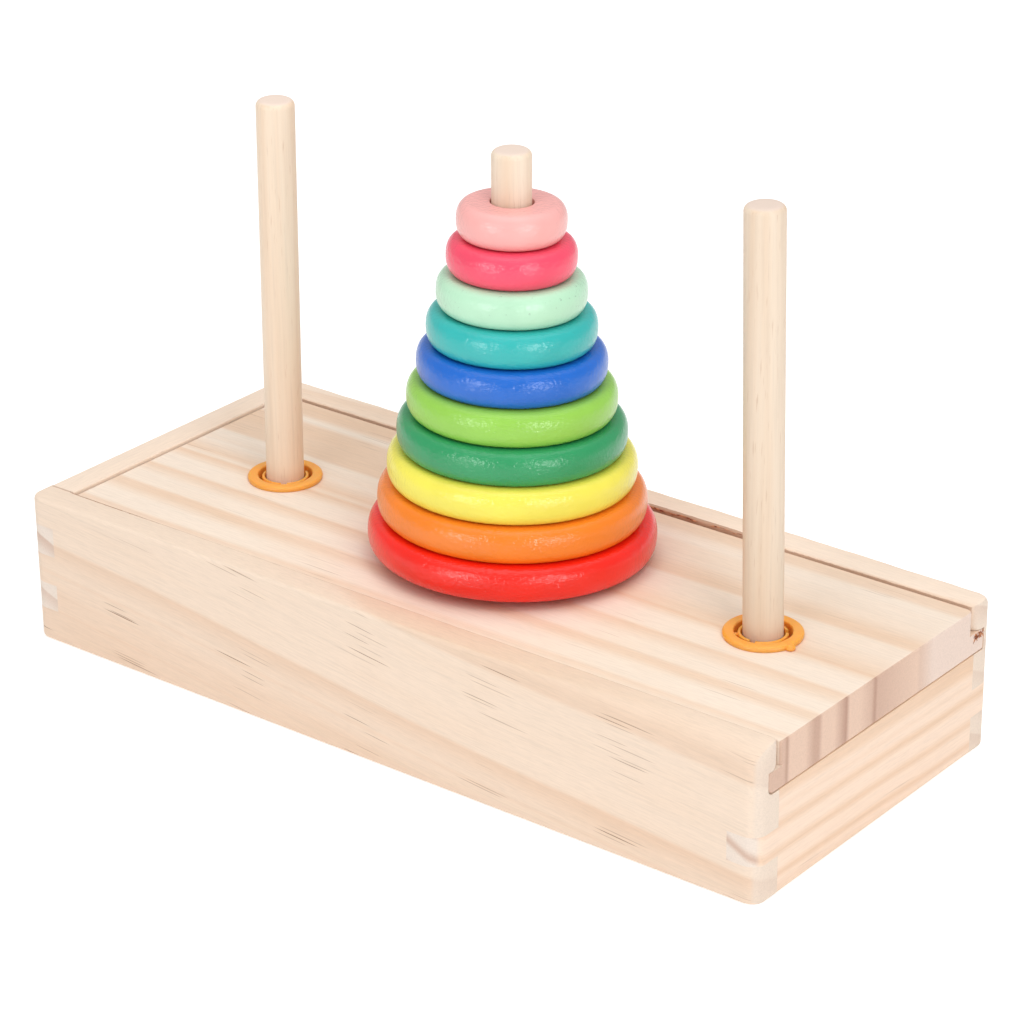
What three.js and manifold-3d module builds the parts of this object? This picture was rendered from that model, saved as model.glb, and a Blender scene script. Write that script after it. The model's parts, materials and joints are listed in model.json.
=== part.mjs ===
// Tower of Hanoi puzzle: a finger-jointed pine box with a sliding lid, three
// dowel pegs standing in plastic sockets, and ten painted discs on the middle peg.
// Millimetres, +Z up. The origin is the centre of the box's footprint, +X runs
// towards the end where the lid slides out, and -Y is the front.

import * as THREE from 'three';
import { mergeVertices } from 'three/addons/utils/BufferGeometryUtils.js';
import Module from 'manifold-3d';

const wasm = await Module();
wasm.setup();

// ---- driving dimensions ----

const FIT_GAP = 0.3;
// How far a cutter runs past what it cuts, and how deep a joined piece reaches in.
const OVERRUN = 1;
const JOIN_DEPTH = 0.3;

const BOX_LENGTH = 233.5;
const BOX_WIDTH = 102;
const BOX_HEIGHT = 41;
const SIDE_THICKNESS = 8.6;
const END_THICKNESS = 8.5;
const CORNER_RADIUS = 4;
const CORNER_STEPS = 5;
const LOW_END_HEIGHT = 27.7;
// The heights that the end walls' fingers take up, counted from the bottom.
const LEFT_FINGERS = [[9.2, 16.8], [25.1, 33.4]];
const RIGHT_FINGERS = [[10.2, 17.9]];

const PANEL_THICKNESS = 4;
const PANEL_LIFT = 3;
const PANEL_TONGUE = 3;

const LID_DROP = 0.9;
const LID_BOTTOM = LOW_END_HEIGHT + FIT_GAP;
const LID_SIDE_GAP = 0.5;
const LID_END_GAP = 0.5;
const LID_CORNER_RADIUS = 2;
const TONGUE_HEIGHT = 5.2;
const TONGUE_REACH = 4;
const GROOVE_TOP = 33.8;
const GROOVE_DEPTH = 4.5;
const LIP_CORNER_RADIUS = 2;

const PEG_ROW_CENTRE = 5.7;
const PEG_SPACING = 77.1;
const PEG_RADIUS = 5;
const PEG_LENGTH = 115;
const PEG_TOP_ROUND = 1.6;
const PEG_FOOT_CHAMFER = 0.6;
const PEG_STEPS = 28;
const PEG_TOP_STEPS = 4;

const SOCKET_FLANGE_RADIUS = 10;
const SOCKET_FLANGE_TOP = 1.4;
const FLANGE_EDGE_RADIUS = 0.7;
const FLANGE_EDGE_STEPS = 3;
const FLANGE_FOOT_CHAMFER = 0.3;
const RIM_CHAMFER = 0.4;
const SOCKET_BARREL_RADIUS = 8.1;
const SOCKET_RECESS_RADIUS = 7.2;
const SOCKET_DEPTH = 11.1;
const SOCKET_FLOOR = 1;
const SLEEVE_OUTER_RADIUS = 6.2;
const SLEEVE_INNER_RADIUS = 5.4;
const SLEEVE_TOP = 0.9;
const SOCKET_RIBS = 3;
const RIB_THICKNESS = 1;
const RIB_TOP = 0.4;
const SLOT_WIDTH = 1.6;
const SLOT_FOOT = 1.5;
const SLOT_MARGIN = 0.4;

const DISC_PITCH = 9.23;
const DISC_BASE_RADIUS = 36.7;
const DISC_RADIUS_STEP = 2.555;
const DISC_BORE_RADIUS = 5.5;
// The stack stands askew on its socket, its rear right edge lowest. The seat is the
// height of its underside at the peg, over the lid. The tilt is in degrees, towards
// +X and +Y.
const STACK_SEAT = 2.17;
const STACK_TILT = [0.7, 1.9];

const ROUND_STEPS = 32;
const NOSE_STEPS = 6;

// ---- placing that follows from them ----

const HALF_LENGTH = BOX_LENGTH / 2;
const HALF_WIDTH = BOX_WIDTH / 2;
const LID_TOP = BOX_HEIGHT - LID_DROP;
const DISC_THICKNESS = DISC_PITCH - FIT_GAP;

// Each peg is pushed in to its own depth, and leans by a few tenths of a degree to a
// degree, given towards +X and +Y.
const PEGS = [
  { side: 'left', rise: 105.6, lean: [0.9, 0], ribTurn: 128 },
  { side: 'middle', rise: 107.5, lean: [0.17, 0.46], ribTurn: 0 },
  { side: 'right', rise: 109.8, lean: [-1.1, 0], ribTurn: 218 },
];

// Bottom to top, largest first.
const DISC_COLOURS = [
  ['red', 0xf83c32],
  ['orange', 0xfe9543],
  ['yellow', 0xfef56f],
  ['green', 0x2e9a63],
  ['lime', 0x9fd64f],
  ['blue', 0x386fd6],
  ['teal', 0x37bdb4],
  ['mint', 0xc8f0d4],
  ['pink', 0xfc6681],
  ['light_pink', 0xffb9b0],
];

const PINE = { color: 0xf0dcc0, roughness: 0.65, metalness: 0 };
const LID_PINE = { color: 0xeed4b0, roughness: 0.62, metalness: 0 };
const DOWEL_WOOD = { color: 0xf6dfc2, roughness: 0.55, metalness: 0 };
const PANEL_WOOD = { color: 0xe8d0a8, roughness: 0.75, metalness: 0 };
const SOCKET_PLASTIC = { color: 0xffa546, roughness: 0.4, metalness: 0 };
const GLOSS_PAINT = { roughness: 0.28, metalness: 0 };

// ---- joining and cutting ----

function toSolid(geometry) {
  const bare = geometry.clone();
  bare.deleteAttribute('normal');
  bare.deleteAttribute('uv');
  const merged = mergeVertices(bare, 1e-4);
  return new wasm.Manifold(new wasm.Mesh({
    numProp: 3,
    vertProperties: Float32Array.from(merged.attributes.position.array),
    triVerts: Uint32Array.from(merged.index.array),
  }));
}

function toGeometry(solid) {
  const mesh = solid.getMesh();
  const geometry = new THREE.BufferGeometry();
  geometry.setAttribute('position', new THREE.BufferAttribute(mesh.vertProperties, 3));
  geometry.setIndex(new THREE.BufferAttribute(mesh.triVerts, 1));
  geometry.computeVertexNormals();
  return geometry;
}

function boxSolid(x, y, z) {
  const geometry = new THREE.BoxGeometry(x[1] - x[0], y[1] - y[0], z[1] - z[0]);
  geometry.translate((x[0] + x[1]) / 2, (y[0] + y[1]) / 2, (z[0] + z[1]) / 2);
  return toSolid(geometry);
}

// A plan outline raised from one height to another.
function plateSolid(outline, z) {
  const geometry = new THREE.ExtrudeGeometry(outline, {
    depth: z[1] - z[0],
    bevelEnabled: false,
    curveSegments: CORNER_STEPS,
  });
  geometry.translate(0, 0, z[0]);
  return toSolid(geometry);
}

// A rectangle whose corners each have their own radius, 0 for a sharp one.
// radii: low-x low-y, high-x low-y, high-x high-y, low-x high-y.
function roundedRectangle(x, y, radii) {
  const [r0, r1, r2, r3] = radii;
  const shape = new THREE.Shape();
  shape.moveTo(x[0] + r0, y[0]);
  shape.lineTo(x[1] - r1, y[0]);
  if (r1) shape.absarc(x[1] - r1, y[0] + r1, r1, -Math.PI / 2, 0);
  shape.lineTo(x[1], y[1] - r2);
  if (r2) shape.absarc(x[1] - r2, y[1] - r2, r2, 0, Math.PI / 2);
  shape.lineTo(x[0] + r3, y[1]);
  if (r3) shape.absarc(x[0] + r3, y[1] - r3, r3, Math.PI / 2, Math.PI);
  shape.lineTo(x[0], y[0] + r0);
  if (r0) shape.absarc(x[0] + r0, y[0] + r0, r0, Math.PI, 1.5 * Math.PI);
  return shape;
}

// A closed profile of [radius, height] pairs turned about +Z.
function turned(profile, steps = ROUND_STEPS) {
  const points = profile.map(([radius, height]) => new THREE.Vector2(radius, height));
  const geometry = new THREE.LatheGeometry(points, steps);
  geometry.rotateX(Math.PI / 2);
  return geometry;
}

function quarterArc(centre, radius, from, to, steps) {
  const points = [];
  for (let i = 0; i <= steps; i += 1) {
    const angle = from + ((to - from) * i) / steps;
    points.push([centre[0] + radius * Math.cos(angle), centre[1] + radius * Math.sin(angle)]);
  }
  return points;
}

// ---- the box ----

// A finger's heights, with each end moved outwards by that share of the gap.
function grown([low, high], share) {
  return [low - share * FIT_GAP, high + share * FIT_GAP];
}

// The space for the bottom panel's edge, cut from all four walls.
function panelGroove() {
  const x = HALF_LENGTH - END_THICKNESS + PANEL_TONGUE + FIT_GAP;
  const y = HALF_WIDTH - SIDE_THICKNESS + PANEL_TONGUE + FIT_GAP;
  return boxSolid([-x, x], [-y, y], [PANEL_LIFT - FIT_GAP, PANEL_LIFT + PANEL_THICKNESS + FIT_GAP]);
}

// The space that the lid's two tongues slide in, open at the +X end.
function lidGroove() {
  const y = HALF_WIDTH - SIDE_THICKNESS + GROOVE_DEPTH;
  const x = [-HALF_LENGTH + END_THICKNESS, HALF_LENGTH + OVERRUN];
  return boxSolid(x, [-y, y], [LOW_END_HEIGHT, GROOVE_TOP]);
}

// What rounds the inner corner of a lip where the lid leaves the box.
function lipCorner() {
  const inner = -HALF_WIDTH + SIDE_THICKNESS;
  const r = LIP_CORNER_RADIUS;
  const square = boxSolid(
    [HALF_LENGTH - r, HALF_LENGTH + OVERRUN],
    [inner - r, inner + OVERRUN],
    [GROOVE_TOP, BOX_HEIGHT + OVERRUN],
  );
  const post = plateSolid(
    new THREE.Shape().absarc(HALF_LENGTH - r, inner - r, r, 0, 2 * Math.PI),
    [GROOVE_TOP - OVERRUN, BOX_HEIGHT + 2 * OVERRUN],
  );
  return square.subtract(post);
}

// A long side of the box, made as the front one.
function sideWall() {
  const outer = -HALF_WIDTH;
  const inner = outer + SIDE_THICKNESS;
  const plan = roundedRectangle(
    [-HALF_LENGTH, HALF_LENGTH],
    [outer, inner],
    [CORNER_RADIUS, CORNER_RADIUS, 0, 0],
  );
  const reach = [outer - OVERRUN, inner + OVERRUN];
  const notch = END_THICKNESS + FIT_GAP;
  const left = [-HALF_LENGTH - OVERRUN, -HALF_LENGTH + notch];
  const right = [HALF_LENGTH - notch, HALF_LENGTH + OVERRUN];
  let wall = plateSolid(plan, [0, BOX_HEIGHT]);
  for (const band of LEFT_FINGERS) wall = wall.subtract(boxSolid(left, reach, grown(band, 0.5)));
  for (const band of RIGHT_FINGERS) wall = wall.subtract(boxSolid(right, reach, grown(band, 0.5)));
  return wall.subtract(lidGroove()).subtract(panelGroove()).subtract(lipCorner());
}

// A short side between the long ones, with fingers that reach their outer faces.
// It is made as the left one, with its outer face towards -X.
function endWall(height, fingers) {
  const outer = -HALF_LENGTH;
  const inner = outer + END_THICKNESS;
  const core = HALF_WIDTH - SIDE_THICKNESS - FIT_GAP;
  let wall = boxSolid([outer, inner], [-core, core], [0, height]);
  const plan = roundedRectangle(
    [outer, inner],
    [-HALF_WIDTH, HALF_WIDTH],
    [CORNER_RADIUS, 0, 0, CORNER_RADIUS],
  );
  for (const band of fingers) wall = wall.add(plateSolid(plan, grown(band, -0.5)));
  return wall.subtract(panelGroove());
}

function bottomPanel() {
  const x = HALF_LENGTH - END_THICKNESS + PANEL_TONGUE;
  const y = HALF_WIDTH - SIDE_THICKNESS + PANEL_TONGUE;
  return boxSolid([-x, x], [-y, y], [PANEL_LIFT, PANEL_LIFT + PANEL_THICKNESS]);
}

// ---- the lid ----

function pegX(i) {
  return PEG_ROW_CENTRE + (i - 1) * PEG_SPACING;
}

function slidingLid() {
  const x = [-HALF_LENGTH + END_THICKNESS + LID_END_GAP, HALF_LENGTH];
  const upper = HALF_WIDTH - SIDE_THICKNESS - LID_SIDE_GAP;
  const tongue = upper + TONGUE_REACH;
  const r = LID_CORNER_RADIUS;
  const board = plateSolid(roundedRectangle(x, [-upper, upper], [0, r, r, 0]), [LID_BOTTOM, LID_TOP]);
  const tongues = boxSolid(x, [-tongue, tongue], [LID_BOTTOM, LID_BOTTOM + TONGUE_HEIGHT]);
  let lid = board.add(tongues);
  const hole = turned([
    [0, LID_BOTTOM - OVERRUN],
    [SOCKET_BARREL_RADIUS + FIT_GAP, LID_BOTTOM - OVERRUN],
    [SOCKET_BARREL_RADIUS + FIT_GAP, LID_TOP + OVERRUN],
    [0, LID_TOP + OVERRUN],
  ]);
  for (let i = 0; i < PEGS.length; i += 1) {
    lid = lid.subtract(toSolid(hole.clone().translate(pegX(i), 0, 0)));
  }
  return lid;
}

// A flanged plastic cup: an outer barrel, and a slotted inner sleeve on ribs that
// grips the peg. Heights are from the lid's top.
function socket() {
  const floorTop = -SOCKET_DEPTH + SOCKET_FLOOR;
  const edge = FLANGE_EDGE_RADIUS;
  const edgeCentre = [SOCKET_FLANGE_RADIUS - edge, SOCKET_FLANGE_TOP - edge];
  let solid = toSolid(turned([
    [0, -SOCKET_DEPTH],
    [SOCKET_BARREL_RADIUS, -SOCKET_DEPTH],
    [SOCKET_BARREL_RADIUS, FIT_GAP],
    [SOCKET_FLANGE_RADIUS - FLANGE_FOOT_CHAMFER, FIT_GAP],
    ...quarterArc(edgeCentre, edge, 0, Math.PI / 2, FLANGE_EDGE_STEPS),
    [SOCKET_RECESS_RADIUS + RIM_CHAMFER, SOCKET_FLANGE_TOP],
    [SOCKET_RECESS_RADIUS, SOCKET_FLANGE_TOP - RIM_CHAMFER],
    [SOCKET_RECESS_RADIUS, floorTop],
    [SLEEVE_OUTER_RADIUS, floorTop],
    [SLEEVE_OUTER_RADIUS, SLEEVE_TOP],
    [SLEEVE_INNER_RADIUS, SLEEVE_TOP],
    [SLEEVE_INNER_RADIUS, floorTop],
    [0, floorTop],
  ]));
  for (let i = 0; i < SOCKET_RIBS; i += 1) {
    const turn = (360 * i) / SOCKET_RIBS;
    const rib = boxSolid(
      [SLEEVE_OUTER_RADIUS - JOIN_DEPTH, SOCKET_RECESS_RADIUS + JOIN_DEPTH],
      [-RIB_THICKNESS / 2, RIB_THICKNESS / 2],
      [floorTop - JOIN_DEPTH, RIB_TOP],
    );
    const slot = boxSolid(
      [SLEEVE_INNER_RADIUS - SLOT_MARGIN, SLEEVE_OUTER_RADIUS + SLOT_MARGIN],
      [-SLOT_WIDTH / 2, SLOT_WIDTH / 2],
      [floorTop + SLOT_FOOT, SLEEVE_TOP + OVERRUN],
    );
    solid = solid.add(rib.rotate([0, 0, turn]));
    solid = solid.subtract(slot.rotate([0, 0, turn + 180 / SOCKET_RIBS]));
  }
  return solid;
}

// ---- the pegs and discs ----

// A dowel from its foot at 0 to its rounded top.
function peg() {
  const shoulder = PEG_RADIUS - PEG_TOP_ROUND;
  return turned([
    [0, 0],
    [PEG_RADIUS - PEG_FOOT_CHAMFER, 0],
    [PEG_RADIUS, PEG_FOOT_CHAMFER],
    ...quarterArc(
      [shoulder, PEG_LENGTH - PEG_TOP_ROUND],
      PEG_TOP_ROUND,
      0,
      Math.PI / 2,
      PEG_TOP_STEPS,
    ),
    [0, PEG_LENGTH],
  ], PEG_STEPS);
}

// A disc with a full round edge, centred on the origin.
function disc(radius) {
  const half = DISC_THICKNESS / 2;
  return turned([
    [DISC_BORE_RADIUS, -half],
    ...quarterArc([radius - half, 0], half, -Math.PI / 2, Math.PI / 2, NOSE_STEPS),
    [DISC_BORE_RADIUS, half],
    [DISC_BORE_RADIUS, -half],
  ]);
}

// The turn that tips an upright thing by so many degrees towards +X and +Y.
function tipped([towardsX, towardsY]) {
  const { degToRad } = THREE.MathUtils;
  return new THREE.Euler(-degToRad(towardsY), degToRad(towardsX), 0);
}

// ---- the whole puzzle ----

const puzzle = new THREE.Group();

function place(parent, name, geometry, finish, position = [0, 0, 0]) {
  const mesh = new THREE.Mesh(geometry, new THREE.MeshStandardMaterial(finish));
  mesh.name = name;
  mesh.position.set(...position);
  parent.add(mesh);
  return mesh;
}

const frontWall = sideWall();
place(puzzle, 'front_wall', toGeometry(frontWall), PINE);
place(puzzle, 'rear_wall', toGeometry(frontWall.mirror([0, 1, 0])), PINE);
const rightEndWall = endWall(LOW_END_HEIGHT, RIGHT_FINGERS).mirror([1, 0, 0]);
place(puzzle, 'left_end_wall', toGeometry(endWall(BOX_HEIGHT, LEFT_FINGERS)), PINE);
place(puzzle, 'right_end_wall', toGeometry(rightEndWall), PINE);
place(puzzle, 'bottom_panel', toGeometry(bottomPanel()), PANEL_WOOD);
place(puzzle, 'sliding_lid', toGeometry(slidingLid()), LID_PINE);

const lidTop = new THREE.Group();
lidTop.position.z = LID_TOP;
puzzle.add(lidTop);

PEGS.forEach(({ side, rise, lean, ribTurn }, i) => {
  const station = new THREE.Group();
  station.position.x = pegX(i);
  lidTop.add(station);
  const cup = place(station, `socket_${side}`, toGeometry(socket()), SOCKET_PLASTIC);
  cup.rotation.z = THREE.MathUtils.degToRad(ribTurn);

  const leaning = new THREE.Group();
  leaning.rotation.copy(tipped(lean));
  station.add(leaning);
  place(leaning, `peg_${side}`, peg(), DOWEL_WOOD, [0, 0, rise - PEG_LENGTH]);
});

// The discs' centres follow the middle peg.
DISC_COLOURS.forEach(([colour, value], i) => {
  const radius = DISC_BASE_RADIUS - i * DISC_RADIUS_STEP;
  const height = STACK_SEAT + DISC_THICKNESS / 2 + i * DISC_PITCH;
  const centre = new THREE.Vector3(0, 0, height).applyEuler(tipped(PEGS[1].lean));
  centre.x += pegX(1);
  const ring = place(
    lidTop,
    `disc_${colour}`,
    disc(radius),
    { ...GLOSS_PAINT, color: value },
    centre.toArray(),
  );
  ring.rotation.copy(tipped(STACK_TILT));
});

export default puzzle;
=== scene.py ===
"""Looks of the Tower of Hanoi puzzle: a finger-jointed pine box with a sliding lid, three dowel
pegs in plastic sockets and ten painted discs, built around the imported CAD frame."""

import json
import math
import random
from collections import namedtuple

import bmesh
import bpy
from mathutils import Matrix, Vector


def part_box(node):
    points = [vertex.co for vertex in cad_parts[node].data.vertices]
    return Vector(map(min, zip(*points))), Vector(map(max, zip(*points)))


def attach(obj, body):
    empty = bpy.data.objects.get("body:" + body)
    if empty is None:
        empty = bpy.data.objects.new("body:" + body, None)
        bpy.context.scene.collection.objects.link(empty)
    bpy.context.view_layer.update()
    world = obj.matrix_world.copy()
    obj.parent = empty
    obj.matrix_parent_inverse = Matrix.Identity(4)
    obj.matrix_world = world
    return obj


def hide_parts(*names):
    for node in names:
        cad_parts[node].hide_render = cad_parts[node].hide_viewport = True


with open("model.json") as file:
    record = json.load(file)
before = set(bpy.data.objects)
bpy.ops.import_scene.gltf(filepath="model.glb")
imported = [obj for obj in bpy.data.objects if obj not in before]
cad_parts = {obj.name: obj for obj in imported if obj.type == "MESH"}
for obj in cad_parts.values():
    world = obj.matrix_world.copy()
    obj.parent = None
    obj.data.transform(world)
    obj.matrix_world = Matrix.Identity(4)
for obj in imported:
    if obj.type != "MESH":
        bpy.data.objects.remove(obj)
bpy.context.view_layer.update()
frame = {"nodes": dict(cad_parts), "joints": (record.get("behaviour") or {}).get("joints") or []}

MM = 0.001
scene = bpy.context.scene


# ---------------------------------------------------------------- sizes, in millimetres


def box_mm(node):
    """A CAD node's low and high corners."""
    low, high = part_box(node)
    return Vector(low) / MM, Vector(high) / MM


FRONT_LOW, FRONT_HIGH = box_mm("front_wall")
LEFT_LOW, LEFT_HIGH = box_mm("left_end_wall")
RIGHT_LOW, RIGHT_HIGH = box_mm("right_end_wall")
LID_LOW, LID_HIGH = box_mm("sliding_lid")

HALF_LENGTH = FRONT_HIGH.x
HALF_WIDTH = -FRONT_LOW.y
HEIGHT = FRONT_HIGH.z
INNER_Y = -FRONT_HIGH.y
LEFT_INNER_X = LEFT_HIGH.x
RIGHT_INNER_X = RIGHT_LOW.x
LOW_END = RIGHT_HIGH.z

CORNER_RADIUS = 4.0
BOTTOM_EASE = 1.0
INNER_EASE = 0.4
END_EASE = 0.8
LEFT_TOP_EASE = 1.1
RIGHT_TOP_EASE = 0.35
SEAM = 0.015
LEFT_FINGERS = [(9.2, 16.8), (25.1, 33.4)]
RIGHT_FINGERS = [(10.2, 17.9)]
GROOVE_TOP = 33.8
GROOVE_DEPTH = 4.5
PANEL_GROOVE = (2.7, 7.3)
PANEL_GROOVE_DEPTH = 3.3
LID_SIDE_GAP = 0.4
TONGUE_TOP = 33.65
TONGUE_SIDE_GAP = 0.15
LID_CORNERS = (1.2, 2.4)
TONGUE_CORNERS = (1.9, 0.4)
LID_EASE = 0.55
LID_END_EASE = 0.45
LID_HOLE_RADIUS = 8.3
LIP_CORNER = 2.4
LIP_NOTCH = 0.9
ARRIS = 0.7
CUT_PAST = 2.0

PEG_RADIUS = 5.0
PEG_FOOT_EASE = 0.6
PEG_TOP_EASE = 1.6

# The CAD's discs stand this far apart, and these ones come closer.
FIT_GAP = 0.3
DISC_GAP = 0.04
BORE = 5.45
BORE_EASE = 0.3
NOSE_REACH = 3.3
NOSE_POWER = 2.35
NOSE_STEPS = 28


# ---------------------------------------------------------------- mesh helpers


def finish_mesh(obj, angle=32):
    """Smooth faces, with edges sharper than that angle kept crisp."""
    for face in obj.data.polygons:
        face.use_smooth = True
    obj.data.set_sharp_from_angle(angle=math.radians(angle))
    return obj


def mesh_object(name, verts, faces):
    """A closed mesh from points in millimetres."""
    mesh = bpy.data.meshes.new(name)
    mesh.from_pydata([[c * MM for c in v] for v in verts], [], faces)
    bm = bmesh.new()
    bm.from_mesh(mesh)
    bmesh.ops.remove_doubles(bm, verts=bm.verts, dist=1e-7)
    bmesh.ops.recalc_face_normals(bm, faces=bm.faces)
    bm.to_mesh(mesh)
    bm.free()
    obj = bpy.data.objects.new(name, mesh)
    scene.collection.objects.link(obj)
    return obj


def lathe(name, outline, steps, closed_on_axis=True):
    """Turns (radius, height) pairs about +Z. The outline runs from axis to axis, or closes on itself."""
    verts = []
    for radius, height in outline:
        for k in range(steps):
            a = 2 * math.pi * k / steps
            verts.append((radius * math.cos(a), radius * math.sin(a), height))
    faces = []
    count = len(outline)
    last = count - 1 if closed_on_axis else count
    for i in range(last):
        j = (i + 1) % count
        for k in range(steps):
            n = (k + 1) % steps
            faces.append((i * steps + k, i * steps + n, j * steps + n, j * steps + k))
    return mesh_object(name, verts, faces)


def loft(name, sections):
    """Joins equal-count closed sections one after another, with a cap on each end."""
    verts = [p for section in sections for p in section]
    count = len(sections[0])
    faces = []
    for s in range(len(sections) - 1):
        for i in range(count):
            j = (i + 1) % count
            a, b = s * count, (s + 1) * count
            faces.append((a + i, a + j, b + j, b + i))
    faces.append(tuple(range(count))[::-1])
    end = (len(sections) - 1) * count
    faces.append(tuple(range(end, end + count)))
    return mesh_object(name, verts, faces)


def block(x, y, z):
    """A cutter between two values on each axis."""
    verts = [(i, j, k) for i in x for j in y for k in z]
    faces = [(0, 1, 3, 2), (4, 6, 7, 5), (0, 4, 5, 1), (2, 3, 7, 6), (0, 2, 6, 4), (1, 5, 7, 3)]
    return mesh_object("cutter", verts, faces)


def combine(obj, cutter, operation="DIFFERENCE"):
    """Cuts or joins with an exact boolean, then removes the cutter."""
    modifier = obj.modifiers.new("cut", "BOOLEAN")
    modifier.operation = operation
    modifier.solver = "EXACT"
    modifier.object = cutter
    bpy.context.view_layer.update()
    graph = bpy.context.evaluated_depsgraph_get()
    made = bpy.data.meshes.new_from_object(obj.evaluated_get(graph))
    if not made.polygons:
        raise RuntimeError(f"{obj.name} was lost in a cut")
    obj.modifiers.clear()
    obj.data = made
    bpy.data.objects.remove(cutter)
    return obj


def arc(cx, cy, rx, ry, start, end, steps):
    """Points round an ellipse, between two angles in degrees."""
    points = []
    for i in range(steps + 1):
        t = math.radians(start + (end - start) * i / steps)
        points.append((cx + rx * math.cos(t), cy + ry * math.sin(t)))
    return points


def inset(distance, radius):
    """How far a rounded corner of that radius stands back, at that distance from its end."""
    if distance >= radius:
        return 0.0
    return radius - math.sqrt(max(0.0, radius**2 - (radius - distance) ** 2))


def smooth(low, high, value):
    """0 at the low value, 1 at the high one, with an easy start and end."""
    t = min(1.0, max(0.0, (value - low) / (high - low)))
    return t * t * (3 - 2 * t)


def stations(low, high, corner, step):
    """Places along a board: close together in the rounded ends, evenly spaced between."""
    ends = [corner * (1 - math.cos(math.radians(a))) for a in (0, 12, 24, 36, 48, 60, 72, 81, 90)]
    inner = int((high - low - 2 * corner) / step)
    middle = [low + corner + (high - low - 2 * corner) * i / inner for i in range(1, inner)]
    return [low + e for e in ends] + middle + [high - e for e in reversed(ends)]


# ---------------------------------------------------------------- shader helpers


class Shader:
    """A material being put together from nodes. Each call returns an output socket."""

    def __init__(self, name):
        self.material = bpy.data.materials.new(name)
        self.material.use_nodes = True
        self.tree = self.material.node_tree
        self.tree.nodes.clear()
        self.out = self.tree.nodes.new("ShaderNodeOutputMaterial")

    def put(self, socket, value):
        if isinstance(value, bpy.types.NodeSocket):
            self.tree.links.new(value, socket)
        elif value is not None:
            socket.default_value = value

    def node(self, kind, values=(), output=0, **settings):
        made = self.tree.nodes.new(kind)
        for key, value in settings.items():
            setattr(made, key, value)
        items = values.items() if isinstance(values, dict) else enumerate(values)
        for key, value in items:
            self.put(made.inputs[key], value)
        return made.outputs[output]

    def math(self, operation, a, b=None, c=None, clamp=False):
        return self.node("ShaderNodeMath", [a, b, c], operation=operation, use_clamp=clamp)

    def place(self):
        """The point in the object, in millimetres."""
        coordinate = self.node("ShaderNodeTexCoord", output=3)
        return self.node("ShaderNodeVectorMath", [coordinate, (1000,) * 3], operation="MULTIPLY")

    def split(self, vector):
        made = self.tree.nodes.new("ShaderNodeSeparateXYZ")
        self.put(made.inputs[0], vector)
        return made.outputs[0], made.outputs[1], made.outputs[2]

    def join(self, x, y, z=0.0):
        return self.node("ShaderNodeCombineXYZ", [x, y, z])

    def stretch(self, parts, factors):
        """A vector of the parts, each times its own factor."""
        return self.join(*(self.math("MULTIPLY", part, factor) for part, factor in zip(parts, factors)))

    def noise(self, vector, scale=1.0, detail=2.0, rough=0.5):
        values = {"Vector": vector, "Scale": scale, "Detail": detail, "Roughness": rough}
        return self.node("ShaderNodeTexNoise", values)

    def fit(self, value, low, high, to_low=0.0, to_high=1.0, kind="LINEAR"):
        values = [value, low, high, to_low, to_high]
        return self.node("ShaderNodeMapRange", values, interpolation_type=kind)

    def ramp(self, value, stops):
        made = self.tree.nodes.new("ShaderNodeValToRGB")
        self.put(made.inputs[0], value)
        elements = made.color_ramp.elements
        while len(elements) < len(stops):
            elements.new(0.5)
        for element, (position, level) in zip(elements, stops):
            element.position = position
        for element, (position, level) in zip(elements, stops):
            element.color = (level, level, level, 1) if isinstance(level, float) else (*level, 1)
        return made.outputs[0]

    def mix(self, factor, a, b, blend="MIX"):
        made = self.tree.nodes.new("ShaderNodeMix")
        made.data_type = "RGBA"
        made.blend_type = blend
        self.put(made.inputs[0], factor)
        for index, value in ((6, a), (7, b)):
            if isinstance(value, tuple):
                value = (*value, 1)
            self.put(made.inputs[index], value)
        return made.outputs[2]

    def tint(self, colour, value, stops):
        """The colour times a ramp over the value."""
        return self.mix(1.0, colour, self.ramp(value, stops), "MULTIPLY")

    def facing(self, axis):
        """How far the surface faces along an axis of the object, from -1 to 1."""
        return self.split(self.node("ShaderNodeTexCoord", output=1))["XYZ".index(axis)]

    def bump(self, height, strength, distance):
        return self.node("ShaderNodeBump", {"Height": height, "Strength": strength, "Distance": distance})

    def surface(self, **inputs):
        made = self.tree.nodes.new("ShaderNodeBsdfPrincipled")
        for key, value in inputs.items():
            if isinstance(value, tuple) and len(value) == 3 and key != "Subsurface_Radius":
                value = (*value, 1)
            self.put(made.inputs[key.replace("_", " ")], value)
        self.tree.links.new(made.outputs[0], self.out.inputs[0])
        return self.material


def srgb(red, green, blue):
    """A screen colour, 0 to 255, as scene light."""
    levels = [c / 255 for c in (red, green, blue)]
    return tuple(c / 12.92 if c <= 0.04045 else ((c + 0.055) / 1.055) ** 2.4 for c in levels)


# ---------------------------------------------------------------- wood

# Heights through the growth layers that a ramp can tell apart, in mm.
LAYER_SPAN = (-60.0, 60.0)
SEED_SHIFT = 37.0
SWAY_SHIFT = 70.0
SWAY_LENGTH = 190.0

# How much noise is squeezed along the grain, up through the layers and across, per mm.
WAVE_GRAIN = (0.014, 0.03, 0.03)
PATCH_GRAIN = (0.02, 0.1, 0.1)
PORE_ZONE_GRAIN = (0.02, 0.09, 0.09)
FIBRE_GRAIN = (0.03, 1.6, 1.6)
FLECK_GRAIN = (0.22, 2.6, 2.6)
SPECKLE_GRAIN = (0.2, 2.4, 2.4)
RAG_GRAIN = (0.45, 1.5, 1.0)

PORE_CELL_LENGTH = 40.0
PORE_CELL_HEIGHT = 0.8
PORE_COLOUR = (138, 96, 70)
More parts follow.
